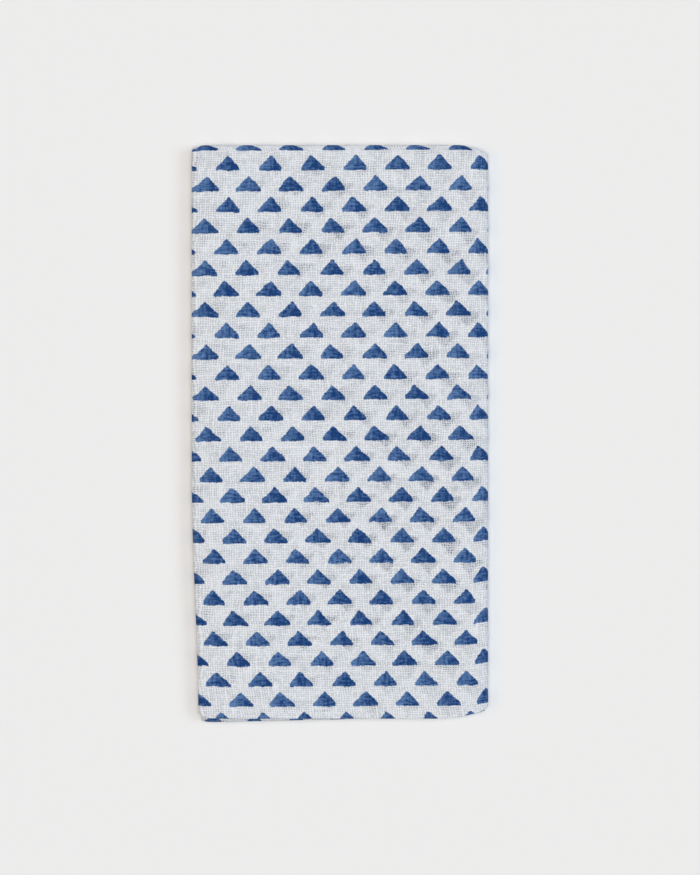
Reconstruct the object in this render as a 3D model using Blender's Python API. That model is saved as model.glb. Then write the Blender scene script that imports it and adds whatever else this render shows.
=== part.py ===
"""A thin cotton handkerchief lying folded: in four along its length, then in three across it.

The cloth is first folded in half along its length. The two plies lie flat on each other, and
this doubled cloth is the sheet that the solid is made of. The sheet is folded over once more
at the head, and then in three from side to side: the inner flap goes under the face, and the
outer flap goes round the right side and under both. That makes six layers of doubled cloth.

+X points to the right of the face, +Y to its head and +Z up. The underside lies at z = 0.
"""
import math
from collections import namedtuple

import bmesh
import bpy
from mathutils import Vector

MM = 0.001

# The sheet is the doubled cloth, and the gaps are the air between its layers.
SHEET = 1.05 * MM
GAP_IN_STRIP = 0.2 * MM
GAP_BETWEEN_STRIPS = 0.3 * MM

# The folded packet, measured over its rounded sides and ends.
PACKET_WIDTH = 115.9 * MM
PACKET_LENGTH = 223.8 * MM

# The free edges of the two flaps stop short of the sides.
INNER_FLAP_SHORT_OF_TURN = 2.4 * MM
OUTER_FLAP_SHORT_OF_SIDE = 3.1 * MM

# The strip is the sheet folded over at the head, and the packet is three strips high.
LAYER_PITCH = SHEET + GAP_IN_STRIP
STRIP = 2 * SHEET + GAP_IN_STRIP
STRIP_PITCH = STRIP + GAP_BETWEEN_STRIPS

# How far each line of the cloth runs past its nominal place, at four places across the cloth.
Line = namedtuple("Line", "name inner_edge left_turn right_turn outer_edge")
HEAD_LINE = Line("turn at the head", -0.9 * MM, 0.0, 0.0, -1.1 * MM)
UPPER_FOOT_LINE = Line("foot of the upper layer", -1.0 * MM, 0.0, 0.0, -0.8 * MM)
LOWER_FOOT_LINE = Line("foot of the lower layer", -0.6 * MM, 1.55 * MM, -0.95 * MM, -1.9 * MM)

# The corners are rounded: each line draws in near a side, by pull, from reach away.
Corner = namedtuple("Corner", "side end reach pull")
CORNERS = (
    Corner("left", "head", 7 * MM, 1.3 * MM),
    Corner("right", "head", 14 * MM, 3.9 * MM),
    Corner("left", "foot", 10 * MM, 4.6 * MM),
    Corner("right", "foot", 19 * MM, 6.2 * MM),
)
CORNER_CURVE = 2.6

# The packet is a little narrower at the foot, and its left side takes up the difference.
LEFT_SIDE_DRIFT = 2.1 * MM

# The stack is fullest in the middle and flattens towards its sides and ends.
CROWN = 0.06
SIDE_FLATTENING = 0.07
SIDE_FLATTENING_REACH = 13 * MM
END_FLATTENING = 0.05
END_FLATTENING_REACH = 16 * MM

# Low, slow swells in the height of the stack: waves across and along the packet, and a share.
Swell = namedtuple("Swell", "across along share phase")
SWELLS = (
    Swell(0.8, 1.7, 0.020, 0.4),
    Swell(1.9, 0.6, 0.014, 2.1),
    Swell(1.3, 3.1, 0.010, 4.0),
)

# The sheet's mesh: rows and columns to a run and to a turn.
COLUMNS_TO_A_RUN = 14
ROWS_TO_A_RUN = 12
STEPS_TO_A_SIDE_TURN = 8
STEPS_TO_THE_HEAD_TURN = 6
CREASE_ROUNDING = 0.42 * MM

COTTON_COLOUR = (0.63, 0.665, 0.72, 1.0)

# A run is a straight stretch of a back-and-forth path. It lies at a level, from start to end.
Run = namedtuple("Run", "name start end level length")


def run(name, start, end, level):
    """A straight stretch whose cloth is as long as the stretch."""
    return Run(name, start, end, level, abs(end - start))


def turn_radius(before, after):
    """The radius of the half turn that joins two runs."""
    return abs(after.level - before.level) / 2


def across_runs():
    """The path across the cloth: inner flap, face and outer flap, seen from the foot."""
    bottom, middle, top = (STRIP / 2 + k * STRIP_PITCH for k in range(3))
    left_turn = -PACKET_WIDTH / 2 + (top - middle) / 2 + STRIP / 2
    right_turn = PACKET_WIDTH / 2 - (top - bottom) / 2 - STRIP / 2
    outer_edge = -PACKET_WIDTH / 2 + OUTER_FLAP_SHORT_OF_SIDE
    return (
        run("inner flap", right_turn - INNER_FLAP_SHORT_OF_TURN, left_turn, middle),
        run("face", left_turn, right_turn, top),
        run("outer flap", right_turn, outer_edge, bottom),
    )


def fold(runs, distance):
    """Carry a distance along flat cloth on to its folded path.

    Returns the place and the level there, and the two parts of the outward normal. A run's
    cloth may be a little longer or shorter than the run itself.
    """
    for before, after in zip(runs, runs[1:] + (None,)):
        heading = 1 if before.end > before.start else -1
        if distance <= before.length or after is None:
            place = before.start + (before.end - before.start) * distance / before.length
            return place, before.level, 0.0, heading
        distance -= before.length
        radius = turn_radius(before, after)
        if distance < math.pi * radius:
            angle = distance / radius
            out = heading * math.sin(angle)
            up = heading * math.cos(angle)
            middle = (before.level + after.level) / 2
            return before.end + radius * out, middle + radius * up, out, up
        distance -= math.pi * radius
    raise ValueError("the cloth is longer than its path")


def stations(runs, steps_to_a_run, steps_to_a_turn):
    """Distances along the flat cloth for the mesh: closer near each fold, and even round it."""
    marks = []
    start = 0.0
    for before, after in zip(runs, runs[1:] + (None,)):
        for step in range(steps_to_a_run + 1):
            share = (1 - math.cos(math.pi * step / steps_to_a_run)) / 2
            marks.append(start + before.length * share)
        start += before.length
        if after is None:
            break
        bend = math.pi * turn_radius(before, after)
        marks.extend(start + bend * step / steps_to_a_turn for step in range(1, steps_to_a_turn))
        start += bend
    return marks


def line_offset(line, runs, u):
    """How far a line of the cloth runs past its nominal place, at u across the flat cloth."""
    knots = (line.inner_edge, line.left_turn, line.right_turn, line.outer_edge)
    start = 0.0
    for k, stretch in enumerate(runs):
        share = (u - start) / stretch.length
        if share <= 1 or k == len(runs) - 1:
            return knots[k] + (knots[k + 1] - knots[k]) * max(0.0, min(1.0, share))
        start += stretch.length + math.pi * turn_radius(stretch, runs[k + 1])
    raise ValueError("no run holds this place")


def corner_pull(x, end):
    """How far the corners draw an end of the packet in, at x."""
    pull = 0.0
    for corner in CORNERS:
        if corner.end != end:
            continue
        side = PACKET_WIDTH / 2 if corner.side == "right" else -PACKET_WIDTH / 2
        nearness = max(0.0, 1 - abs(side - x) / corner.reach)
        pull += corner.pull * nearness ** CORNER_CURVE
    return pull


def along_runs(u, x, across):
    """The path along the cloth at one place across it: the upper layer, then the lower one."""
    nominal_head = PACKET_LENGTH / 2
    nominal_foot = -PACKET_LENGTH / 2
    head = nominal_head + line_offset(HEAD_LINE, across, u) - corner_pull(x, "head")
    foot_pull = corner_pull(x, "foot")
    upper_foot = nominal_foot - line_offset(UPPER_FOOT_LINE, across, u) + foot_pull
    lower_foot = nominal_foot - line_offset(LOWER_FOOT_LINE, across, u) + foot_pull
    turn = head - STRIP / 2
    cloth = PACKET_LENGTH - STRIP / 2
    return (
        Run("upper layer", upper_foot, turn, LAYER_PITCH / 2, cloth),
        Run("lower layer", turn, lower_foot, -LAYER_PITCH / 2, cloth),
    )


def fold_point(point, across):
    """Carry a point of the flat sheet through both folds."""
    u, v, depth = point
    x, z, out_x, out_z = fold(across, u)
    y, height, out_y, out_height = fold(along_runs(u, x, across), v)
    y += depth * out_y
    height += depth * out_height
    return Vector((x + height * out_x, y, z + height * out_z))


def smooth(share):
    """A soft step from 0 to 1."""
    share = max(0.0, min(1.0, share))
    return share * share * (3 - 2 * share)


def settle_point(point):
    """Let the stack settle: draw in the left side at the foot, and vary the stack's height."""
    x, y, z = point
    towards_left = 0.5 - x / PACKET_WIDTH
    towards_foot = 0.5 - y / PACKET_LENGTH
    to_side = PACKET_WIDTH / 2 - abs(x)
    to_end = PACKET_LENGTH / 2 - abs(y)
    height = 1 + CROWN
    height -= (CROWN + SIDE_FLATTENING) * (1 - smooth(to_side / SIDE_FLATTENING_REACH))
    height -= END_FLATTENING * (1 - smooth(to_end / END_FLATTENING_REACH))
    for swell in SWELLS:
        waves = swell.across * towards_left + swell.along * towards_foot
        height += swell.share * math.sin(2 * math.pi * waves + swell.phase)
    return Vector((x + LEFT_SIDE_DRIFT * towards_left * towards_foot, y, z * height))


def flat_sheet(columns, rows):
    """The sheet before folding: a thin slab, cut finer near the folds, its crease rounded."""
    bm = bmesh.new()
    bmesh.ops.create_grid(bm, x_segments=len(columns) - 1, y_segments=len(rows) - 1, size=0.5)
    for vert in bm.verts:
        column = round((vert.co.x + 0.5) * (len(columns) - 1))
        row = round((vert.co.y + 0.5) * (len(rows) - 1))
        vert.co = Vector((columns[column], rows[row], SHEET / 2))
    bmesh.ops.solidify(bm, geom=bm.faces[:], thickness=SHEET)
    bmesh.ops.recalc_face_normals(bm, faces=bm.faces[:])
    crease = [
        edge for edge in bm.edges
        if all(vert.co.y < rows[0] + SHEET / 10 for vert in edge.verts)
        and abs(edge.verts[0].co.z - edge.verts[1].co.z) < SHEET / 10
    ]
    bmesh.ops.bevel(
        bm, geom=crease, offset=CREASE_ROUNDING, offset_type="OFFSET", segments=2,
        profile=0.5, affect="EDGES", material=-1,
    )
    return bm


def centre_on_origin(bm):
    """Put the middle of the packet's box over the origin, with its underside at z = 0."""
    lows = [min(vert.co[axis] for vert in bm.verts) for axis in range(3)]
    highs = [max(vert.co[axis] for vert in bm.verts) for axis in range(3)]
    shift = Vector(((lows[0] + highs[0]) / 2, (lows[1] + highs[1]) / 2, lows[2]))
    bmesh.ops.translate(bm, vec=-shift, verts=bm.verts[:])


def cotton_material():
    """Plain pale cotton."""
    material = bpy.data.materials.new("cotton")
    material.use_nodes = True
    shader = material.node_tree.nodes["Principled BSDF"]
    shader.inputs["Base Color"].default_value = COTTON_COLOUR
    shader.inputs["Roughness"].default_value = 0.9
    shader.inputs["Metallic"].default_value = 0.0
    return material


def cloth(collection):
    """The whole handkerchief, folded: one sheet of doubled cloth in six layers."""
    across = across_runs()
    nominal = along_runs(0.0, 0.0, across)
    columns = stations(across, COLUMNS_TO_A_RUN, STEPS_TO_A_SIDE_TURN)
    rows = stations(nominal, ROWS_TO_A_RUN, STEPS_TO_THE_HEAD_TURN)
    bm = flat_sheet(columns, rows)
    for vert in bm.verts:
        vert.co = settle_point(fold_point(vert.co, across))
    bmesh.ops.recalc_face_normals(bm, faces=bm.faces[:])
    centre_on_origin(bm)
    mesh = bpy.data.meshes.new("cloth")
    bm.to_mesh(mesh)
    bm.free()
    mesh.materials.append(cotton_material())
    mesh.shade_smooth()
    mesh.set_sharp_from_angle(angle=math.radians(50))
    collection.objects.link(bpy.data.objects.new("cloth", mesh))


def clear_scene():
    """Remove whatever the file starts with."""
    for existing in list(bpy.data.objects):
        bpy.data.objects.remove(existing, do_unlink=True)


def main():
    """Build the folded handkerchief in its own collection."""
    clear_scene()
    collection = bpy.data.collections.new("folded handkerchief")
    bpy.context.scene.collection.children.link(collection)
    cloth(collection)


main()
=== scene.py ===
"""The looks of a thin printed cotton handkerchief that lies folded in four, then in three.

The cloth is one sheet of open plain weave with a block print of small staggered triangles. It
is folded in half along its length and in half again, and then in three from side to side. The
sheet is modelled ply by ply along that path, so the print and the threads run round each fold.

+X points to the right of the face, +Y to its head and +Z up. Everything is in metres.
"""

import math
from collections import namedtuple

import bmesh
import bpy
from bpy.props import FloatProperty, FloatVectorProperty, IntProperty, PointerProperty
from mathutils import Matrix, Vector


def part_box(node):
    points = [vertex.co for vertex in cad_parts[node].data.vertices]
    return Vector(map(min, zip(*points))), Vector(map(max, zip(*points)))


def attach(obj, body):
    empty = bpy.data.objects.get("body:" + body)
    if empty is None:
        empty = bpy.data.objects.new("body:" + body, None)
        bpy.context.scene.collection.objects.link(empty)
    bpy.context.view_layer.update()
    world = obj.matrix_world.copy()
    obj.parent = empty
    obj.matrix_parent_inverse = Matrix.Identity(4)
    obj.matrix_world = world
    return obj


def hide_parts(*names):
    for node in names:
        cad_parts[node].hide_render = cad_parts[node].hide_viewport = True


bl_info = {
    "name": "Folded printed handkerchief",
    "version": (1, 0, 0),
    "blender": (4, 5, 0),
    "location": "3D View > Sidebar > Handkerchief",
    "description": "A thin printed cotton cloth, folded flat, with its floor, lights and camera",
    "category": "Add Mesh",
}

MM = 0.001

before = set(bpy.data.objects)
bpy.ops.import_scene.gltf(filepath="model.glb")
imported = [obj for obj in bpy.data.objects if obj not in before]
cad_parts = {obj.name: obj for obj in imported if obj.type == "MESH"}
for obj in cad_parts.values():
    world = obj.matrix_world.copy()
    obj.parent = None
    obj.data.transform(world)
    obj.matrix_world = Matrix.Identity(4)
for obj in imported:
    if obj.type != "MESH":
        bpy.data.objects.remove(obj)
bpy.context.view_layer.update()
CAD_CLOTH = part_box("cloth")
# The soft cloth is this much wider than its plain solid, over both sides.
SOFT_PROUD = 0.5 * MM

# How far each line of the cloth runs past its nominal place, at four places across the cloth.
Line = namedtuple("Line", "name inner_edge left_turn right_turn outer_edge")
HEAD_LINE = Line("turns at the head", -0.9 * MM, 0.0, 0.0, -1.1 * MM)
CREASE_LINE = Line("crease at the foot", -1.0 * MM, 0.0, 0.0, -0.8 * MM)
UPPER_RAW_LINE = Line("raw end of the third ply", -0.6 * MM, 1.55 * MM, -0.95 * MM, -1.9 * MM)
LOWER_RAW_LINE = Line("raw end of the lowest ply", -1.3 * MM, 0.7 * MM, -1.3 * MM, -2.6 * MM)

# The corners are rounded: each line draws in near a side, by pull, from reach away. The raw
# ends draw in less than the folds do.
Corner = namedtuple("Corner", "side end reach pull curve")
CORNERS = (
    Corner("left", "head", 7 * MM, 1.3 * MM, 2.6),
    Corner("right", "head", 14 * MM, 3.9 * MM, 2.6),
    Corner("left", "foot", 6 * MM, 2.7 * MM, 2.4),
    Corner("right", "foot", 20 * MM, 3.6 * MM, 1.9),
    Corner("right", "foot", 5 * MM, 2.4 * MM, 2.0),
)
RAW_END_SHARE = 0.45
# A drawn-in line puckers the cloth only this far from itself.
PUCKER_REACH = 32 * MM

# The left side draws in towards the foot, from a share of the length on, but the print there
# leans in evenly over the whole length.
LEFT_SIDE_DRIFT = 2.6 * MM
DRIFT_START = 0.58
PRINT_LEAN = 2.1 * MM

# The sides are pressed: each fold is squarer than a half circle, whose power would be 2.
LEFT_FOLD_POWER = 3.4
RIGHT_FOLD_POWER = 2.7

# The stack is fullest in the middle and flattens towards its sides and ends.
CROWN = 0.06
SIDE_FLATTENING = 0.07
SIDE_FLATTENING_REACH = 13 * MM
END_FLATTENING = 0.05
END_FLATTENING_REACH = 16 * MM

# Low, slow swells in the height of the stack: waves across and along the packet, and a share.
Swell = namedtuple("Swell", "across along share phase")
SWELLS = (
    Swell(0.8, 1.7, 0.020, 0.4),
    Swell(1.9, 0.6, 0.014, 2.1),
    Swell(1.3, 3.1, 0.010, 4.0),
)

# Soft troughs and ridges, each from one place to another: shares of the width from the left and
# of the length from the head, then how far each reaches sideways and its share of the height.
Trough = namedtuple("Trough", "across along to_across to_along reach share")
TROUGHS = (
    Trough(0.20, 0.05, 0.70, 0.13, 9 * MM, -0.016),
    Trough(0.30, 0.16, 0.62, 0.10, 7 * MM, -0.012),
    Trough(0.10, 0.22, 0.13, 0.46, 5 * MM, -0.009),
    Trough(0.88, 0.16, 0.84, 0.52, 6 * MM, -0.011),
    Trough(0.93, 0.60, 0.90, 0.90, 5 * MM, 0.010),
    Trough(0.14, 0.58, 0.17, 0.93, 7 * MM, 0.012),
    Trough(0.26, 0.72, 0.52, 0.95, 9 * MM, -0.014),
    Trough(0.47, 0.30, 0.55, 0.47, 6 * MM, 0.008),
    Trough(0.58, 0.55, 0.72, 0.76, 7 * MM, -0.010),
    Trough(0.08, 0.965, 0.86, 0.957, 3 * MM, -0.012),
    Trough(0.06, 0.028, 0.90, 0.030, 3 * MM, -0.012),
)

# How far the print has slipped to the right and towards the foot, at places down the cloth.
Slip = namedtuple("Slip", "towards_foot right down")
PRINT_SLIPS = (
    Slip(0.00, 1.8 * MM, -0.6 * MM),
    Slip(0.10, 0.9 * MM, -0.4 * MM),
    Slip(0.26, -0.3 * MM, 0.2 * MM),
    Slip(0.40, -0.8 * MM, 0.6 * MM),
    Slip(0.62, 0.15 * MM, 0.1 * MM),
    Slip(0.73, 0.5 * MM, -0.2 * MM),
    Slip(0.82, 0.2 * MM, -0.2 * MM),
    Slip(0.93, 0.95 * MM, -0.55 * MM),
    Slip(0.97, 1.4 * MM, -0.8 * MM),
    Slip(1.00, 2.2 * MM, -1.1 * MM),
)

# Near a side the cloth is pushed up a little, which brings its print nearer the middle, and
# towards the foot it is dragged up as well.
Squeeze = namedtuple("Squeeze", "side reach inward upward")
SQUEEZES = (Squeeze("left", 9 * MM, 0.0, 0.4 * MM), Squeeze("right", 8 * MM, 1.7 * MM, 0.9 * MM))
DRAG_START = 0.55
DRAG_FULL = 0.80

# Along the head the cloth is gathered into its turns, and its print leans to the left there.
HEAD_GATHER = 2.6 * MM
HEAD_GATHER_REACH = 2.6 * MM
HEAD_LEAN = 1.3 * MM

# The third ply, which peeps out at the foot, lies a little to the left of the face.
UNDER_LEFT = 2.8 * MM
UNDER_DOWN = 0.7 * MM

# Where the second ply lies close under the face, so that its print shows through the weave.
Touch = namedtuple("Touch", "across along reach_across reach_along amount")
TOUCHES = (
    Touch(0.90, 0.24, 0.26, 0.16, 0.55),
    Touch(0.80, 0.56, 0.26, 0.16, 0.52),
    Touch(0.76, 0.76, 0.30, 0.18, 0.50),
    Touch(0.42, 0.72, 0.22, 0.16, 0.35),
    Touch(0.44, 0.14, 0.26, 0.10, 0.50),
    Touch(0.40, 0.42, 0.22, 0.10, 0.30),
    Touch(0.28, 0.86, 0.22, 0.08, 0.30),
)
LEAST_TOUCH = 0.26

# The mesh: rows to each ply and to each fold along the cloth, columns to each part across it.
ROWS = {"third ply": 32, "second ply": 50, "face ply": 150, "lowest ply": 32}
ROWS_TO_A_FOLD = 7
COLUMNS = {"inner flap": 16, "face": 80, "outer flap": 22}
COLUMNS_TO_A_FOLD = 10


class FoldSizes(bpy.types.PropertyGroup):
    """The sizes of the folded cloth."""

    ply: FloatProperty(
        name="Ply", description="Thickness of one ply of the cloth",
        default=0.40 * MM, min=0.1 * MM, max=1 * MM, precision=5, subtype="DISTANCE", unit="LENGTH",
    )
    ply_pitch: FloatProperty(
        name="Ply pitch", description="From one ply to the next in a pair that lies together",
        default=0.53 * MM, min=0.1 * MM, precision=5, subtype="DISTANCE", unit="LENGTH",
    )
    pair_pitch: FloatProperty(
        name="Pair pitch", description="From one pair of plies to the next in a strip",
        default=1.25 * MM, min=0.1 * MM, precision=5, subtype="DISTANCE", unit="LENGTH",
    )
    strip: FloatProperty(
        name="Strip", description="Height of the strip of four plies",
        default=2.3 * MM, min=0.5 * MM, precision=5, subtype="DISTANCE", unit="LENGTH",
    )
    strip_pitch: FloatProperty(
        name="Strip pitch", description="From one layer of the strip to the next in the packet",
        default=2.6 * MM, min=0.5 * MM, precision=5, subtype="DISTANCE", unit="LENGTH",
    )
    width: FloatProperty(
        name="Width", description="Width of the packet over its rounded sides",
        default=CAD_CLOTH[1].x - CAD_CLOTH[0].x + SOFT_PROUD, precision=4,
        subtype="DISTANCE", unit="LENGTH",
    )
    length: FloatProperty(
        name="Length", description="Length of the packet from its head to the crease at its foot",
        default=224.4 * MM, precision=4, subtype="DISTANCE", unit="LENGTH",
    )
    inner_flap_short: FloatProperty(
        name="Inner flap short", description="How far the inner flap stops from the right turn",
        default=2.4 * MM, precision=4, subtype="DISTANCE", unit="LENGTH",
    )
    outer_flap_short: FloatProperty(
        name="Outer flap short", description="How far the outer flap stops from the left side",
        default=3.1 * MM, precision=4, subtype="DISTANCE", unit="LENGTH",
    )
    inner_plies_short: FloatProperty(
        name="Inner plies short", description="How much less cloth two inner plies have",
        default=3.8 * MM, precision=4, subtype="DISTANCE", unit="LENGTH",
    )


class WeaveLook(bpy.types.PropertyGroup):
    """The weave and the colour of the bare cotton."""

    warp_pitch: FloatProperty(
        name="Warp pitch", description="From one lengthwise thread to the next",
        default=0.98 * MM, min=0.2 * MM, precision=5, subtype="DISTANCE", unit="LENGTH",
    )
    weft_pitch: FloatProperty(
        name="Weft pitch", description="From one crosswise thread to the next",
        default=0.9 * MM, min=0.2 * MM, precision=5, subtype="DISTANCE", unit="LENGTH",
    )
    thread_light: FloatVectorProperty(
        name="Light thread", description="Colour of a full thread",
        default=(0.770, 0.798, 0.842), size=3, min=0, max=1, subtype="COLOR",
    )
    # Painted shade too: this colour also darkens the low spots of the weave, where shade falls
    # between the threads.
    thin_and_shaded_thread: FloatVectorProperty(
        name="Thin thread", description="Colour of a thin thread, which lets more light past",
        default=(0.577, 0.606, 0.645), size=3, min=0, max=1, subtype="COLOR",
    )
    # Painted shade: the gaps of the weave are painted dark, as the cloth beneath them lies in
    # shade.
    gap_shade: FloatVectorProperty(
        name="Gap", description="Colour of bare cloth seen through the gaps of the weave",
        default=(0.395, 0.42, 0.465), size=3, min=0, max=1, subtype="COLOR",
    )


class PrintLook(bpy.types.PropertyGroup):
    """The printed triangles."""

    pitch: FloatProperty(
        name="Pitch", description="From one triangle to the next in a row",
        default=16.58 * MM, min=1 * MM, precision=5, subtype="DISTANCE", unit="LENGTH",
    )
    row_pitch: FloatProperty(
        name="Row pitch", description="From one row of triangles to the next",
        default=8.07 * MM, min=1 * MM, precision=5, subtype="DISTANCE", unit="LENGTH",
    )
    base: FloatProperty(
        name="Base", description="Length of a triangle's base, past which its corners are cut off",
        default=9.45 * MM, precision=5, subtype="DISTANCE", unit="LENGTH",
    )
    height: FloatProperty(
        name="Height", description="Height of a triangle, from its base to its point",
        default=6.15 * MM, precision=5, subtype="DISTANCE", unit="LENGTH",
    )
    flare: FloatProperty(
        name="Flare", description="Where the sides would meet the base line, in bases",
        default=1.25, min=1.0, max=2.0,
    )
    ink_deep: FloatVectorProperty(
        name="Deep ink", description="Colour where the cotton took the dye well",
        default=(0.004, 0.042, 0.170), size=3, min=0, max=1, subtype="COLOR",
    )
    ink_worn: FloatVectorProperty(
        name="Thin ink", description="Colour where the dye is thin",
        default=(0.110, 0.215, 0.430), size=3, min=0, max=1, subtype="COLOR",
    )
    ink_beneath: FloatVectorProperty(
        name="Ink beneath", description="Colour of the next ply's print through the weave",
        default=(0.075, 0.095, 0.155), size=3, min=0, max=1, subtype="COLOR",
    )


class StageLook(bpy.types.PropertyGroup):
    """The floor, the lights and the camera."""

    floor: FloatVectorProperty(
        name="Floor", description="Colour of the floor",
        default=(0.817, 0.817, 0.82), size=3, min=0, max=1, subtype="COLOR",
    )
    key_strength: FloatProperty(
        name="Key", description="Strength of the light from the right", default=0.80, min=0,
    )
    fill_strength: FloatProperty(
        name="Fill", description="Strength of the light from the left", default=0.42, min=0,
    )
    top_strength: FloatProperty(
        name="Top", description="Strength of the light from above", default=1.94, min=0,
    )
    sky_strength: FloatProperty(
        name="Sky", description="Strength of the even light from all round", default=0.20, min=0,
    )
    lens: FloatProperty(
        name="Lens", description="Focal length of the camera in millimetres", default=125, min=20,
    )


# A run is a straight stretch of a back-and-forth path. It lies at a level, from start to end,
# each moved by its shift, and its cloth has a length of its own.
Run = namedtuple("Run", "name start end level length start_shift end_shift")


def plain_run(name, start, end, level):
    """A straight stretch whose cloth is as long as the stretch."""
    return Run(name, start, end, level, abs(end - start), 0.0, 0.0)


def smooth(share):
    """A soft step from 0 to 1."""
    share = max(0.0, min(1.0, share))
    return share * share * (3 - 2 * share)


def turn_radius(before, after):
    """The radius of the half turn that joins two runs."""
    return abs(after.level - before.level) / 2


def across_runs(sizes):
    """The path across the cloth: inner flap, face and outer flap, seen from the foot."""
    bottom, middle, top = (sizes.strip / 2 + k * sizes.strip_pitch for k in range(3))
    left_turn = -sizes.width / 2 + (top - middle) / 2 + sizes.strip / 2
    right_turn = sizes.width / 2 - (top - bottom) / 2 - sizes.strip / 2
    outer_edge = -sizes.width / 2 + sizes.outer_flap_short
    return (
        plain_run("inner flap", right_turn - sizes.inner_flap_short, left_turn, middle),
        plain_run("face", left_turn, right_turn, top),
        plain_run("outer flap", right_turn, outer_edge, bottom),
    )


# A folded place: where it lies, the two parts of the normal on the printed side, and how far
# the moved ends of its run have carried it along.
Folded = namedtuple("Folded", "place level out_place out_level slide")


def fold(runs, distance):
    """Carry a distance along flat cloth on to its folded path."""
    for before, after in zip(runs, runs[1:] + (None,)):
        heading = 1 if before.end > before.start else -1
        if distance <= before.length or after is None:
            slide = before.start_shift * (1 - smooth(distance / PUCKER_REACH))
            slide += before.end_shift * (1 - smooth((before.length - distance) / PUCKER_REACH))
            place = before.start + (before.end - before.start) * distance / before.length
            return Folded(place + slide, before.level, 0.0, heading, slide)
        distance -= before.length
        radius = turn_radius(before, after)
        if distance < math.pi * radius:
            angle = distance / radius
            side = 1 if before.level > after.level else -1
            place = before.end + before.end_shift + radius * heading * math.sin(angle)
            level = (before.level + after.level) / 2 + radius * side * math.cos(angle)
            out_place = side * math.sin(angle)
            return Folded(place, level, out_place, heading * math.cos(angle), before.end_shift)
        distance -= math.pi * radius
    raise ValueError("the cloth is longer than its path")


def starts(runs):
    """Where each run starts, as a distance along the flat cloth."""
    marks = []
    at = 0.0
    for before, after in zip(runs, runs[1:] + (None,)):
        marks.append(at)
        if after is not None:
            at += before.length + math.pi * turn_radius(before, after)
    return marks


def stations(runs, steps, steps_to_a_turn):
    """Distances along the flat cloth for the mesh's rows or columns, even in each stretch."""
    marks = []
    for start, before, after in zip(starts(runs), runs, runs[1:] + (None,)):
        count = steps[before.name]
        marks.extend(start + before.length * step / count for step in range(count + 1))
        if after is not None:
            bend = math.pi * turn_radius(before, after)
            begin = start + before.length
            marks.extend(begin + bend * k / steps_to_a_turn for k in range(1, steps_to_a_turn))
    return marks


def line_offset(line, across, across_starts, u):
    """How far a line of the cloth runs past its nominal place, at u across the flat cloth."""
    knots = (line.inner_edge, line.left_turn, line.right_turn, line.outer_edge)
    last = len(across) - 1
    for k, (stretch, start) in enumerate(zip(across, across_starts)):
        share = (u - start) / stretch.length
        if share <= 1 or k == last:
            return knots[k] + (knots[k + 1] - knots[k]) * max(0.0, min(1.0, share))
    raise ValueError("no run holds this place")


def corner_pull(width, x, end):
    """How far the corners draw an end of the packet in, at x."""
    pull = 0.0
    for corner in CORNERS:
        if corner.end != end:
            continue
        side = width / 2 if corner.side == "right" else -width / 2
        nearness = max(0.0, 1 - abs(side - x) / corner.reach)
        pull += corner.pull * nearness ** corner.curve
    return pull


# One side's fold: the middle of its half turn, the way it bulges and its squareness.
SideFold = namedtuple("SideFold", "x z outward power")


def side_folds(across):
    """The two folds at the packet's sides."""
    inner, face, outer = across
    return (
        SideFold(face.start, (inner.level + face.level) / 2, -1, LEFT_FOLD_POWER),
        SideFold(face.end, (face.level + outer.level) / 2, 1, RIGHT_FOLD_POWER),
    )


def press(x, z, folds):
    """Press the half circles at the sides squarer."""
    for side in folds:
        out = (x - side.x) * side.outward
        if out <= 0:
            continue
        up = z - side.z
        round_reach = math.hypot(out, up)
        square_reach = (out ** side.power + abs(up) ** side.power) ** (1 / side.power)
        grow = round_reach / square_reach
        x = side.x + out * grow * side.outward
        z = side.z + up * grow
    return x, z


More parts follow.
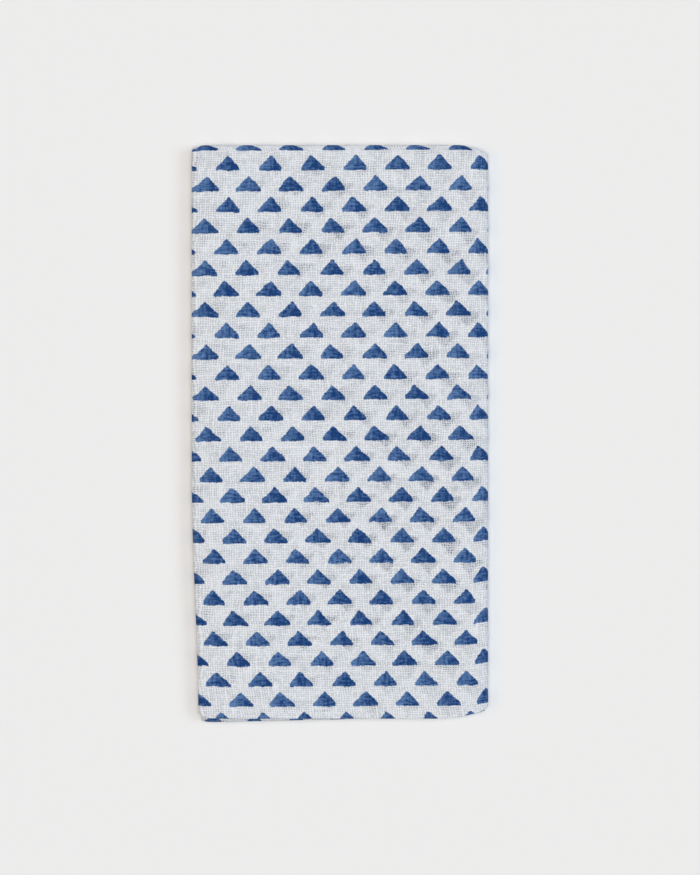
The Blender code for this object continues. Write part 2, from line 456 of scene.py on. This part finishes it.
class Folding:
    """The folded path of the cloth, worked out once from the sizes."""

    def __init__(self, sizes):
        self.width = sizes.width
        self.length = sizes.length
        self.strip = sizes.strip
        self.ply = sizes.ply
        self.ply_pitch = sizes.ply_pitch
        self.inner_plies_short = sizes.inner_plies_short
        self.outer_level = (sizes.pair_pitch + sizes.ply_pitch) / 2
        self.inner_level = (sizes.pair_pitch - sizes.ply_pitch) / 2
        self.across = across_runs(sizes)
        self.across_starts = starts(self.across)
        self.side_folds = side_folds(self.across)
        self.nominal = self.along_runs(0.0, 0.0)
        self.along_starts = starts(self.nominal)

    def foot_crease(self):
        """The middle of the crease at the foot, as a distance along the flat cloth."""
        return self.along_starts[2] - math.pi * self.ply_pitch / 4

    def head_turn(self):
        """Where the face starts to turn under at the head, as a distance along the flat cloth."""
        return self.along_starts[2] + self.nominal[2].length

    def flat_place(self, x, y):
        """The place on the flat cloth of a point of the face, given from the packet's middle."""
        face = self.across[1]
        ply = self.nominal[2]
        return self.across_starts[1] + x - face.start, self.along_starts[2] + y - ply.start

    def along_runs(self, u, x):
        """The path along the cloth at one place across it: four plies, from raw end to raw end."""
        nominal_turn = self.length / 2 - self.strip / 2
        nominal_raw_end = -self.length / 2
        nominal_crease = nominal_raw_end + (self.ply_pitch + self.ply) / 2
        to_raw_end = nominal_turn - nominal_raw_end
        to_crease = nominal_turn - nominal_crease
        foot_pull = corner_pull(self.width, x, "foot")
        head = self.offset(HEAD_LINE, u) - corner_pull(self.width, x, "head")
        crease = foot_pull - self.offset(CREASE_LINE, u)
        third_end = foot_pull * RAW_END_SHARE - self.offset(UPPER_RAW_LINE, u)
        lowest_end = foot_pull * RAW_END_SHARE - self.offset(LOWER_RAW_LINE, u)
        short = self.inner_plies_short / 2
        return (
            Run("third ply", nominal_raw_end, nominal_turn, -self.inner_level,
                to_raw_end - short, third_end, head),
            Run("second ply", nominal_turn, nominal_crease, self.inner_level,
                to_crease - short, head, crease),
            Run("face ply", nominal_crease, nominal_turn, self.outer_level,
                to_crease, crease, head),
            Run("lowest ply", nominal_turn, nominal_raw_end, -self.outer_level,
                to_raw_end, head, lowest_end),
        )

    def offset(self, line, u):
        """A line's offset at u across the flat cloth."""
        return line_offset(line, self.across, self.across_starts, u)

    def fold_point(self, u, s):
        """Carry a place on the flat cloth through both folds.

        Returns its place, and how far it has slid along the packet.
        """
        across = fold(self.across, u)
        along = fold(self.along_runs(u, across.place), s)
        x = across.place + along.level * across.out_place
        z = across.level + along.level * across.out_level
        x, z = press(x, z, self.side_folds)
        return Vector((x, along.place, z)), along.slide


def trough_height(x, y):
    """What the troughs and ridges add to the share of the stack's height, at a place."""
    width = CAD_CLOTH[1].x - CAD_CLOTH[0].x
    length = CAD_CLOTH[1].y - CAD_CLOTH[0].y
    total = 0.0
    for trough in TROUGHS:
        start = Vector(((trough.across - 0.5) * width, (0.5 - trough.along) * length))
        end = Vector(((trough.to_across - 0.5) * width, (0.5 - trough.to_along) * length))
        line = end - start
        here = Vector((x, y)) - start
        share = max(0.0, min(1.0, here.dot(line) / line.dot(line)))
        away = (here - line * share).length / trough.reach
        total += trough.share * math.exp(-away * away)
    return total


def side_drift(towards_foot):
    """How far the left side draws in, at a share of the length."""
    return LEFT_SIDE_DRIFT * smooth((towards_foot - DRIFT_START) / (1 - DRIFT_START))


def settle_point(point, width, length):
    """Let the stack settle: draw in the left side at the foot, and vary the stack's height."""
    x, y, z = point
    towards_left = 0.5 - x / width
    towards_foot = 0.5 - y / length
    to_side = width / 2 - abs(x)
    to_end = length / 2 - abs(y)
    height = 1 + CROWN + trough_height(x, y)
    height -= (CROWN + SIDE_FLATTENING) * (1 - smooth(to_side / SIDE_FLATTENING_REACH))
    height -= END_FLATTENING * (1 - smooth(to_end / END_FLATTENING_REACH))
    for swell in SWELLS:
        waves = swell.across * towards_left + swell.along * towards_foot
        height += swell.share * math.sin(2 * math.pi * waves + swell.phase)
    return Vector((x + side_drift(towards_foot) * towards_left, y, z * height))


def print_slip(towards_foot):
    """How far the print has slipped, to the right and down, at a share of the length."""
    for above, below in zip(PRINT_SLIPS, PRINT_SLIPS[1:]):
        if towards_foot <= below.towards_foot or below is PRINT_SLIPS[-1]:
            span = below.towards_foot - above.towards_foot
            share = smooth((towards_foot - above.towards_foot) / span)
            right = above.right + (below.right - above.right) * share
            down = above.down + (below.down - above.down) * share
            return right, down
    raise ValueError("no slip is given here")


def squeeze(x, width, towards_foot):
    """How far the print is pushed to the right, and up, by the sides."""
    right = up = 0.0
    drag = smooth((towards_foot - DRAG_START) / (DRAG_FULL - DRAG_START))
    for push in SQUEEZES:
        towards_middle = 1 if push.side == "left" else -1
        from_side = width / 2 + x * towards_middle
        nearness = 1 - smooth(from_side / push.reach)
        right += towards_middle * push.inward * nearness
        up += push.upward * nearness * drag
    return right, up


def touch(across, along):
    """How closely the second ply lies under the face, at shares of the width and length."""
    total = LEAST_TOUCH
    for patch in TOUCHES:
        away_across = (across - patch.across) / patch.reach_across
        away_along = (along - patch.along) / patch.reach_along
        total += patch.amount * math.exp(-away_across ** 2 - away_along ** 2)
    return min(1.0, total)


def folded_sheet(folding):
    """The folded sheet as a single surface, with its maps of the flat cloth."""
    columns = stations(folding.across, COLUMNS, COLUMNS_TO_A_FOLD)
    rows = stations(folding.nominal, ROWS, ROWS_TO_A_FOLD)
    bm = bmesh.new()
    bmesh.ops.create_grid(bm, x_segments=len(columns) - 1, y_segments=len(rows) - 1, size=0.5)
    flat_map = bm.loops.layers.uv.new("Flat")
    beneath_map = bm.loops.layers.uv.new("Beneath")
    touch_layer = bm.verts.layers.float.new("Touch")
    crease = folding.foot_crease()
    head = folding.head_turn()
    flat = {}
    for vert in bm.verts:
        u = columns[round((vert.co.x + 0.5) * (len(columns) - 1))]
        s = rows[round((vert.co.y + 0.5) * (len(rows) - 1))]
        folded, slide = folding.fold_point(u, s)
        towards_foot = 0.5 - folded.y / folding.length
        right, down = print_slip(towards_foot)
        pushed_right, pushed_up = squeeze(folded.x, folding.width, towards_foot)
        gathered = smooth((s - head) / HEAD_GATHER_REACH + 0.5)
        under = smooth((crease - s) / folding.length)
        towards_left = 0.5 - folded.x / folding.width
        leaning = PRINT_LEAN * towards_foot - side_drift(towards_foot)
        right += pushed_right + leaning * towards_left
        right -= HEAD_LEAN * gathered + UNDER_LEFT * under
        down += UNDER_DOWN * under - pushed_up + HEAD_GATHER * gathered
        # A rounded corner turns more cloth under, and leaves the print on the face in place.
        s += slide
        flat[vert] = (Vector((u - right, s + down)), Vector((u, 2 * crease - s)))
        vert[touch_layer] = touch(0.5 + folded.x / folding.width, towards_foot)
        vert.co = settle_point(folded, folding.width, folding.length)
    for face in bm.faces:
        for loop in face.loops:
            loop[flat_map].uv, loop[beneath_map].uv = flat[loop.vert]
    return bm


def place_on_frame(bm, half_ply):
    """Put the cloth's box over the middle of the frame's, with its underside on the floor."""
    lows = [min(vert.co[axis] for vert in bm.verts) for axis in range(3)]
    highs = [max(vert.co[axis] for vert in bm.verts) for axis in range(3)]
    middle = (CAD_CLOTH[0] + CAD_CLOTH[1]) / 2
    shift = Vector((
        middle.x - (lows[0] + highs[0]) / 2,
        middle.y - (lows[1] + highs[1]) / 2,
        CAD_CLOTH[0].z + half_ply - lows[2],
    ))
    bmesh.ops.translate(bm, vec=shift, verts=bm.verts[:])
    return shift


class Nodes:
    """Adds nodes to one tree and joins them."""

    def __init__(self, tree):
        self.tree = tree
        self.count = 0

    def add(self, kind, inputs=None, **settings):
        """A node of a kind, with its settings, and with values or links for its inputs."""
        node = self.tree.nodes.new(kind)
        node.location = (180 * (self.count // 6), -170 * (self.count % 6))
        self.count += 1
        for name, value in settings.items():
            setattr(node, name, value)
        for key, value in (inputs or {}).items():
            self.feed(node.inputs[key], value)
        return node

    def feed(self, socket, value):
        """Link a socket to an output, or set its value."""
        if isinstance(value, bpy.types.NodeSocket):
            self.tree.links.new(value, socket)
        else:
            socket.default_value = value

    def math(self, operation, *values):
        """One Math node's result."""
        node = self.add("ShaderNodeMath", operation=operation)
        for socket, value in zip(node.inputs, values):
            self.feed(socket, value)
        return node.outputs[0]

    def add_up(self, first, *others):
        """The sum of several values."""
        for other in others:
            first = self.math("ADD", first, other)
        return first

    def step(self, value, low, high):
        """A soft step: 0 below low, 1 above high."""
        node = self.add(
            "ShaderNodeMapRange", {"Value": value, "From Min": low, "From Max": high},
            interpolation_type="SMOOTHSTEP",
        )
        return node.outputs[0]

    def mix(self, share, first, second):
        """A colour between two others."""
        node = self.add("ShaderNodeMix", data_type="RGBA")
        self.feed(node.inputs[0], share)
        self.feed(node.inputs[6], first)
        self.feed(node.inputs[7], second)
        return node.outputs[2]

    def split(self, vector):
        """The first two parts of a vector."""
        node = self.add("ShaderNodeSeparateXYZ", {"Vector": vector})
        return node.outputs["X"], node.outputs["Y"]

    def join(self, x, y):
        """A vector of two parts."""
        return self.add("ShaderNodeCombineXYZ", {"X": x, "Y": y}).outputs[0]

    def noise(self, vector, scale, detail=2.0, roughness=0.5):
        """A flat noise texture's node."""
        return self.add(
            "ShaderNodeTexNoise",
            {"Vector": vector, "Scale": scale, "Detail": detail, "Roughness": roughness},
            noise_dimensions="2D",
        )

    def wander(self, vector, scale, amount, detail=2.0):
        """Two values that wander slowly about 0, by about an amount."""
        colour = self.noise(vector, scale, detail).outputs["Color"]
        parts = self.add("ShaderNodeSeparateColor", {"Color": colour})
        return tuple(
            self.math("MULTIPLY", self.math("SUBTRACT", parts.outputs[name], 0.5), amount)
            for name in ("Red", "Green")
        )


FLOAT = "NodeSocketFloat"
VECTOR = "NodeSocketVector"


def new_group(name, inputs, outputs):
    """A shader node group with named sockets, and the nodes at its two ends."""
    tree = bpy.data.node_groups.new(name, "ShaderNodeTree")
    for socket_name, kind in inputs:
        tree.interface.new_socket(name=socket_name, in_out="INPUT", socket_type=kind)
    for socket_name, kind in outputs:
        tree.interface.new_socket(name=socket_name, in_out="OUTPUT", socket_type=kind)
    nodes = Nodes(tree)
    source = nodes.add("NodeGroupInput").outputs
    sink = nodes.add("NodeGroupOutput")
    return tree, nodes, source, sink


def thread(nodes, place, run, slub, loose, seed):
    """One set of threads: how far they cover the cloth, their roundness, number and fullness.

    place counts threads sideways, run is how far along the thread a point lies, and loose is
    how much thinner than usual the threads are there.
    """
    number = nodes.math("FLOOR", place)
    within = nodes.math("FRACT", place)
    ridge = nodes.math("SINE", nodes.math("MULTIPLY", within, math.pi))
    # Thick and thin stretches of one thread are about a dozen crossings long.
    lane = nodes.math("ADD", nodes.math("MULTIPLY", number, 7.31), seed)
    spot = nodes.join(lane, nodes.math("MULTIPLY", run, 0.09))
    fullness = nodes.noise(spot, 1.0, detail=2.0, roughness=0.7).outputs[0]
    thinner = nodes.math("MULTIPLY", nodes.math("SUBTRACT", 0.5, fullness), slub)
    edge = nodes.add_up(0.55, thinner, loose)
    cover = nodes.step(ridge, nodes.math("SUBTRACT", edge, 0.24), nodes.math("ADD", edge, 0.24))
    return cover, ridge, number, fullness


def weave_group():
    """Open plain weave on flat cloth: the threads' height, the gaps and each thread's fullness."""
    tree, nodes, source, sink = new_group(
        "open plain weave",
        (("Flat", VECTOR), ("Warp pitch", FLOAT), ("Weft pitch", FLOAT), ("Waver", FLOAT),
         ("Slub", FLOAT), ("Patches", FLOAT)),
        (("Height", FLOAT), ("Gap", FLOAT), ("Fullness", FLOAT)),
    )
    u, s = nodes.split(source["Flat"])
    slow_u, slow_s = nodes.wander(source["Flat"], 55.0, source["Waver"])
    quick_u, quick_s = nodes.wander(source["Flat"], 420.0, 0.95)
    across = nodes.add_up(nodes.math("DIVIDE", u, source["Warp pitch"]), slow_u, quick_u)
    along = nodes.add_up(nodes.math("DIVIDE", s, source["Weft pitch"]), slow_s, quick_s)
    # The cloth is more open in some patches than in others.
    loose, _ = nodes.wander(source["Flat"], 130.0, source["Patches"], detail=3.0)
    slub = source["Slub"]
    warp, warp_ridge, warp_number, warp_full = thread(nodes, across, along, slub, loose, 3.7)
    weft, weft_ridge, weft_number, weft_full = thread(nodes, along, across, slub, loose, 41.3)

    def lift(run, number, sign):
        """How high a thread rides where it passes over and under the others."""
        turns = nodes.add_up(run, number, -0.5)
        wave = nodes.math("COSINE", nodes.math("MULTIPLY", turns, math.pi))
        return nodes.math("MULTIPLY_ADD", wave, 0.35 * sign, 0.65)

    warp_height = nodes.math("MULTIPLY", warp_ridge, lift(along, warp_number, 1))
    weft_height = nodes.math("MULTIPLY", weft_ridge, lift(across, weft_number, -1))
    warp_height = nodes.math("MULTIPLY", warp_height, warp)
    weft_height = nodes.math("MULTIPLY", weft_height, weft)
    height = nodes.math("MAXIMUM", warp_height, weft_height)
    bare = nodes.math("MULTIPLY", nodes.math("SUBTRACT", 1.0, warp),
                      nodes.math("SUBTRACT", 1.0, weft))
    on_top = nodes.math("GREATER_THAN", warp_height, weft_height)
    difference = nodes.math("SUBTRACT", warp_full, weft_full)
    fullness = nodes.math("MULTIPLY_ADD", on_top, difference, weft_full)
    # Each crossing catches the light a little more or less than the next.
    crossing = nodes.join(warp_number, weft_number)
    fleck = nodes.add(
        "ShaderNodeTexWhiteNoise", {"Vector": crossing}, noise_dimensions="2D"
    ).outputs["Value"]
    fullness = nodes.math("MULTIPLY_ADD", nodes.math("SUBTRACT", fleck, 0.5), 0.5, fullness)
    nodes.feed(sink.inputs["Height"], height)
    nodes.feed(sink.inputs["Gap"], bare)
    nodes.feed(sink.inputs["Fullness"], fullness)
    return tree


def triangles_group():
    """Block-printed triangles in staggered rows: where the dye is, and how well it took."""
    tree, nodes, source, sink = new_group(
        "block-printed triangles",
        (("Flat", VECTOR), ("Origin", VECTOR), ("Pitch", FLOAT), ("Row pitch", FLOAT),
         ("Row slope", FLOAT), ("Column drift", FLOAT), ("Base", FLOAT), ("Height", FLOAT),
         ("Flare", FLOAT), ("Unevenness", FLOAT), ("Softness", FLOAT)),
        (("Print", FLOAT), ("Take", FLOAT)),
    )
    place = nodes.add(
        "ShaderNodeVectorMath", {0: source["Flat"], 1: source["Origin"]}, operation="SUBTRACT"
    ).outputs[0]
    u, s = nodes.split(place)

    # Which triangle a point belongs to: whole numbers of rows and of triangles along the row.
    rise = nodes.math("MULTIPLY", u, source["Row slope"])
    rows = nodes.math("DIVIDE", nodes.math("SUBTRACT", s, rise), source["Row pitch"])
    row = nodes.math("ROUND", rows)
    stagger = nodes.math("MULTIPLY", nodes.math("FLOORED_MODULO", row, 2.0), 0.5)
    drift = nodes.math("MULTIPLY", s, source["Column drift"])
    triangles = nodes.math("DIVIDE", nodes.math("ADD", u, drift), source["Pitch"])
    triangles = nodes.math("ADD", triangles, stagger)
    triangle = nodes.math("ROUND", triangles)

    # Each triangle is a little out of place and has a shape of its own.
    numbers = nodes.join(triangle, row)
    chance = nodes.add("ShaderNodeTexWhiteNoise", {"Vector": numbers}, noise_dimensions="2D")
    own = nodes.add("ShaderNodeSeparateColor", {"Color": chance.outputs["Color"]}).outputs
    lean = nodes.math("MULTIPLY", nodes.math("SUBTRACT", own["Red"], 0.5), 0.34)
    size = nodes.math("MULTIPLY_ADD", own["Green"], 0.14, 0.93)
    dye = own["Blue"]
    uneven = source["Unevenness"]
    wobble_x, wobble_y = nodes.wander(source["Flat"], 260.0, uneven, detail=1.0)
    fine_x, fine_y = nodes.wander(source["Flat"], 1150.0, nodes.math("MULTIPLY", uneven, 0.8))
    x = nodes.math("MULTIPLY", nodes.math("SUBTRACT", triangles, triangle), source["Pitch"])
    x = nodes.add_up(x, wobble_x, fine_x)
    y = nodes.math("MULTIPLY", nodes.math("SUBTRACT", rows, row), source["Row pitch"])
    y = nodes.add_up(y, wobble_y, fine_y, nodes.math("MULTIPLY", source["Height"], 0.5))
    x = nodes.math("MULTIPLY_ADD", y, lean, x)
    base = nodes.math("MULTIPLY", source["Base"], size)
    half_base = nodes.math("MULTIPLY", base, 0.5)

    # How far inside the sides, the base, the blunt point and the cut corners a point lies.
    flared = nodes.math("MULTIPLY", half_base, source["Flare"])
    slope = nodes.math("DIVIDE", flared, source["Height"])
    out = nodes.math("ABSOLUTE", x)
    reach = nodes.math("SUBTRACT", flared, nodes.math("MULTIPLY", y, slope))
    in_side = nodes.math("MULTIPLY", nodes.math("SUBTRACT", reach, out), 0.72)
    in_point = nodes.math("SUBTRACT", nodes.math("MULTIPLY", source["Height"], 0.95), y)
    in_corner = nodes.math("SUBTRACT", half_base, out)
    inside = nodes.math("SMOOTH_MIN", in_side, y, 0.4 * MM)
    inside = nodes.math("SMOOTH_MIN", inside, in_point, 0.4 * MM)
    inside = nodes.math("SMOOTH_MIN", inside, in_corner, 0.5 * MM)
    soft = source["Softness"]
    printed = nodes.step(inside, nodes.math("MULTIPLY", soft, -0.5),
                         nodes.math("MULTIPLY", soft, 0.5))

    # The dye takes in streaks along the weft, and less to the left and at the point.
    streak_spot = nodes.add(
        "ShaderNodeMapping", {"Vector": source["Flat"], "Scale": (330.0, 1250.0, 1.0)}
    ).outputs[0]
    streaks = nodes.noise(streak_spot, 1.0, detail=2.0, roughness=0.6).outputs[0]
    cross_spot = nodes.add(
        "ShaderNodeMapping", {"Vector": source["Flat"], "Scale": (1050.0, 260.0, 1.0)}
    ).outputs[0]
    cross = nodes.noise(cross_spot, 1.0, detail=1.0).outputs[0]
    leftness = nodes.math("SUBTRACT", 0.3, nodes.math("DIVIDE", x, half_base))
    leftness = nodes.math("MAXIMUM", leftness, 0.0)
    highness = nodes.math("SUBTRACT", nodes.math("DIVIDE", y, source["Height"]), 0.3)
    highness = nodes.math("MAXIMUM", highness, 0.0)
    take = nodes.add_up(
        0.90,
        nodes.math("MULTIPLY", nodes.math("SUBTRACT", streaks, 0.5), 1.9),
        nodes.math("MULTIPLY", nodes.math("SUBTRACT", cross, 0.5), 1.1),
        nodes.math("MULTIPLY", nodes.math("SUBTRACT", dye, 0.5), 0.3),
        nodes.math("MULTIPLY", leftness, -0.50),
        nodes.math("MULTIPLY", highness, -0.36),
    )
    take = nodes.add("ShaderNodeClamp", {"Value": take}).outputs[0]
    nodes.feed(sink.inputs["Print"], printed)
    nodes.feed(sink.inputs["Take"], take)
    return tree


# How each ply's print lies on the face: where one triangle's middle is, from the packet's
# middle, how much its rows climb to the right of the ply, and how its columns drift.
PrintLay = namedtuple("PrintLay", "x y pitch_share row_slope column_drift")
FACE_LAY = PrintLay(-2.25 * MM, -0.15 * MM, 1.0, 0.006, 0.016)
BENEATH_LAY = PrintLay(8.69 * MM, 53.5 * MM, 0.993, 0.038, -0.009)


def opaque(colour):
    """A colour with full alpha."""
    return (*colour, 1.0)


def place_group(nodes, tree, inputs):
    """A node that places a group in a material, with its inputs."""
    node = nodes.add("ShaderNodeGroup")
    node.node_tree = tree
    for name, value in inputs.items():
        nodes.feed(node.inputs[name], value)
    return node.outputs


def print_inputs(look, lay, origin, flat, unevenness, softness):
    """The inputs of the triangles' group for one ply."""
    return {
        "Flat": flat,
        "Origin": (*origin, 0.0),
        "Pitch": look.pitch * lay.pitch_share,
        "Row pitch": look.row_pitch,
        "Row slope": lay.row_slope,
        "Column drift": lay.column_drift,
        "Base": look.base,
        "Height": look.height,
        "Flare": look.flare,
        "Unevenness": unevenness,
        "Softness": softness,
    }


def printed_cotton(folding, weave, look):
    """Pale open-weave cotton with blue triangles, and the next ply's print faint beneath."""
    material = bpy.data.materials.new("printed_cotton")
    material.use_nodes = True
    tree = material.node_tree
    tree.nodes.clear()
    nodes = Nodes(tree)
    flat = nodes.add("ShaderNodeUVMap", uv_map="Flat").outputs[0]
    beneath = nodes.add("ShaderNodeUVMap", uv_map="Beneath").outputs[0]
    touching = nodes.add("ShaderNodeAttribute", attribute_name="Touch").outputs["Fac"]

    cloth = place_group(nodes, weave_group(), {
        "Flat": flat, "Warp pitch": weave.warp_pitch, "Weft pitch": weave.weft_pitch,
        "Waver": 2.2, "Slub": 0.9, "Patches": 0.7,
    })
    triangles = triangles_group()
    face_origin = folding.flat_place(FACE_LAY.x, FACE_LAY.y)
    u, s = folding.flat_place(BENEATH_LAY.x, BENEATH_LAY.y)
    beneath_origin = (u, 2 * folding.foot_crease() - s)
    face_print = place_group(nodes, triangles, print_inputs(
        look, FACE_LAY, face_origin, flat, 0.9 * MM, 0.3 * MM))
    beneath_print = place_group(nodes, triangles, print_inputs(
        look, BENEATH_LAY, beneath_origin, beneath, 1.6 * MM, 1.4 * MM))

    # Bare cotton: full threads are lighter than thin ones, and lower spots of the weave are darker
    # with painted shade.
    lightness = nodes.math("MULTIPLY_ADD", cloth["Height"], 0.8, cloth["Fullness"])
    lightness = nodes.step(lightness, 0.45, 1.35)
    threads = nodes.mix(lightness, opaque(weave.thin_and_shaded_thread), opaque(weave.thread_light))

    # The next ply shows in the gaps, painted dark there with shade, and where it lies close it
    # tints the threads too.
    ink_under = nodes.math("MULTIPLY", beneath_print["Print"], touching)
    under = nodes.mix(ink_under, opaque(weave.gap_shade), opaque(look.ink_beneath))
    see_through = nodes.math("MULTIPLY_ADD", cloth["Gap"], 0.8, 0.03)
    tint = nodes.math("MULTIPLY", ink_under, 0.30)
    bare = nodes.mix(nodes.math("ADD", see_through, tint), threads, under)

    # Dye lies on the threads and thins out over the gaps.
    worn = nodes.math("SUBTRACT", 1.0, face_print["Take"])
    dye = nodes.mix(worn, opaque(look.ink_deep), opaque(look.ink_worn))
    dye = nodes.mix(nodes.math("MULTIPLY", cloth["Gap"], 0.22), dye, opaque(look.ink_beneath))
    colour = nodes.mix(face_print["Print"], bare, dye)

    rough = nodes.math("MULTIPLY_ADD", face_print["Print"], -0.06, 0.93)
    pucker = nodes.noise(flat, 190.0, detail=2.0).outputs[0]
    relief = nodes.math("MULTIPLY_ADD", pucker, 0.55, cloth["Height"])
    bump = nodes.add(
        "ShaderNodeBump", {"Height": relief, "Strength": 0.45, "Distance": 0.16 * MM}
    )
    shader = nodes.add("ShaderNodeBsdfPrincipled", {
        "Base Color": colour, "Roughness": rough, "Normal": bump.outputs[0],
        "Sheen Weight": 0.06, "Sheen Roughness": 0.5, "Specular IOR Level": 0.15,
    })
    sink = nodes.add("ShaderNodeOutputMaterial")
    tree.links.new(shader.outputs[0], sink.inputs["Surface"])
    return material


class HANDKERCHIEF_OT_cloth(bpy.types.Operator):
    """Fold the printed cloth: one sheet in four along its length, then in three across it"""

    bl_idname = "handkerchief.cloth"
    bl_label = "Folded cloth"
    bl_options = {"REGISTER", "UNDO"}

    def execute(self, context):
        scene = context.scene
        sizes = scene.handkerchief_fold
        folding = Folding(sizes)
        bm = folded_sheet(folding)
        place_on_frame(bm, sizes.ply / 2)
        mesh = bpy.data.meshes.new("printed_cloth")
        bm.to_mesh(mesh)
        bm.free()
        mesh.shade_smooth()
        mesh.materials.append(
            printed_cotton(folding, scene.handkerchief_weave, scene.handkerchief_print))
        cloth = bpy.data.objects.new("printed_cloth", mesh)
        scene.collection.objects.link(cloth)
        thickness = cloth.modifiers.new("thickness of the ply", "SOLIDIFY")
        thickness.thickness = sizes.ply
        thickness.offset = 0.0
        thickness.use_even_offset = True
        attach(cloth, "root")
        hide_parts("cloth")
        return {"FINISHED"}


def add_sun(scene, name, strength, colour, azimuth, elevation, spread):
    """A soft distant light. Azimuth 0 comes from +X and 90 from +Y, in degrees."""
    light = bpy.data.lights.new(name, "SUN")
    light.energy = strength
    light.color = colour
    light.angle = math.radians(spread)
    sun = bpy.data.objects.new(name, light)
    away = math.radians(azimuth)
    up = math.radians(elevation)
    towards = Vector((math.cos(away) * math.cos(up), math.sin(away) * math.cos(up), math.sin(up)))
    sun.rotation_euler = towards.to_track_quat("Z", "Y").to_euler()
    scene.collection.objects.link(sun)


FLOOR_SIZE = 24.0
FLOOR_DROP = 0.05 * MM
VIEW_WIDTH = 273.9 * MM
SENSOR_WIDTH = 36.0
# Where the camera looks, from the packet's middle.
VIEW_RIGHT = 3.9 * MM
VIEW_DOWN = 1.4 * MM


class HANDKERCHIEF_OT_stage(bpy.types.Operator):
    """Add the pale floor, the soft lights and the camera straight above"""

    bl_idname = "handkerchief.stage"
    bl_label = "Floor, lights and camera"
    bl_options = {"REGISTER", "UNDO"}

    def execute(self, context):
        scene = context.scene
        look = scene.handkerchief_stage
        bm = bmesh.new()
        bmesh.ops.create_grid(bm, x_segments=1, y_segments=1, size=FLOOR_SIZE / 2)
        bmesh.ops.translate(bm, vec=Vector((0, 0, -FLOOR_DROP)), verts=bm.verts[:])
        mesh = bpy.data.meshes.new("floor")
        bm.to_mesh(mesh)
        bm.free()
        floor = bpy.data.objects.new("floor", mesh)
        material = bpy.data.materials.new("plain_floor")
        material.use_nodes = True
        shader = material.node_tree.nodes["Principled BSDF"]
        shader.inputs["Base Color"].default_value = opaque(look.floor)
        shader.inputs["Roughness"].default_value = 1.0
        shader.inputs["Specular IOR Level"].default_value = 0.0
        mesh.materials.append(material)
        scene.collection.objects.link(floor)

        add_sun(scene, "key", look.key_strength, (0.76, 0.88, 1.0), 0, 46, 30)
        add_sun(scene, "fill", look.fill_strength, (1.0, 0.60, 0.20), 180, 46, 30)
        add_sun(scene, "top", look.top_strength, (0.972, 0.986, 1.0), 0, 90, 40)
        world = bpy.data.worlds.new("even light")
        world.use_nodes = True
        background = world.node_tree.nodes["Background"]
        background.inputs["Color"].default_value = (0.985, 1.0, 1.0, 1.0)
        background.inputs["Strength"].default_value = look.sky_strength
        scene.world = world
        scene.view_settings.view_transform = "Standard"

        camera_data = bpy.data.cameras.new("camera")
        camera_data.sensor_fit = "HORIZONTAL"
        camera_data.sensor_width = SENSOR_WIDTH
        camera_data.lens = look.lens
        camera_data.clip_end = FLOOR_SIZE
        camera = bpy.data.objects.new("camera", camera_data)
        height = VIEW_WIDTH * look.lens / SENSOR_WIDTH
        top = CAD_CLOTH[1].z * 0.75
        camera.location = (VIEW_RIGHT, -VIEW_DOWN, top + height)
        scene.collection.objects.link(camera)
        scene.camera = camera
        return {"FINISHED"}


class HANDKERCHIEF_PT_panel(bpy.types.Panel):
    """Buttons that build the handkerchief and its stage"""

    bl_idname = "HANDKERCHIEF_PT_panel"
    bl_label = "Folded handkerchief"
    bl_space_type = "VIEW_3D"
    bl_region_type = "UI"
    bl_category = "Handkerchief"

    def draw(self, context):
        for operator in OPERATORS:
            self.layout.operator(operator.bl_idname)
        for name, group in SETTINGS:
            box = self.layout.box()
            box.label(text=group.__doc__)
            for setting in group.__annotations__:
                box.prop(getattr(context.scene, name), setting)


OPERATORS = (HANDKERCHIEF_OT_cloth, HANDKERCHIEF_OT_stage)
SETTINGS = (
    ("handkerchief_fold", FoldSizes),
    ("handkerchief_weave", WeaveLook),
    ("handkerchief_print", PrintLook),
    ("handkerchief_stage", StageLook),
)


def register():
    """Register the settings, the operators and the panel."""
    for name, group in SETTINGS:
        bpy.utils.register_class(group)
        setattr(bpy.types.Scene, name, PointerProperty(type=group))
    for operator in OPERATORS:
        bpy.utils.register_class(operator)
    bpy.utils.register_class(HANDKERCHIEF_PT_panel)


def unregister():
    """Undo register."""
    bpy.utils.unregister_class(HANDKERCHIEF_PT_panel)
    for operator in reversed(OPERATORS):
        bpy.utils.unregister_class(operator)
    for name, group in reversed(SETTINGS):
        delattr(bpy.types.Scene, name)
        bpy.utils.unregister_class(group)


def main():
    """Build the handkerchief and its stage around the frame."""
    register()
    bpy.ops.handkerchief.cloth()
    bpy.ops.handkerchief.stage()


if __name__ == "__main__":
    main()
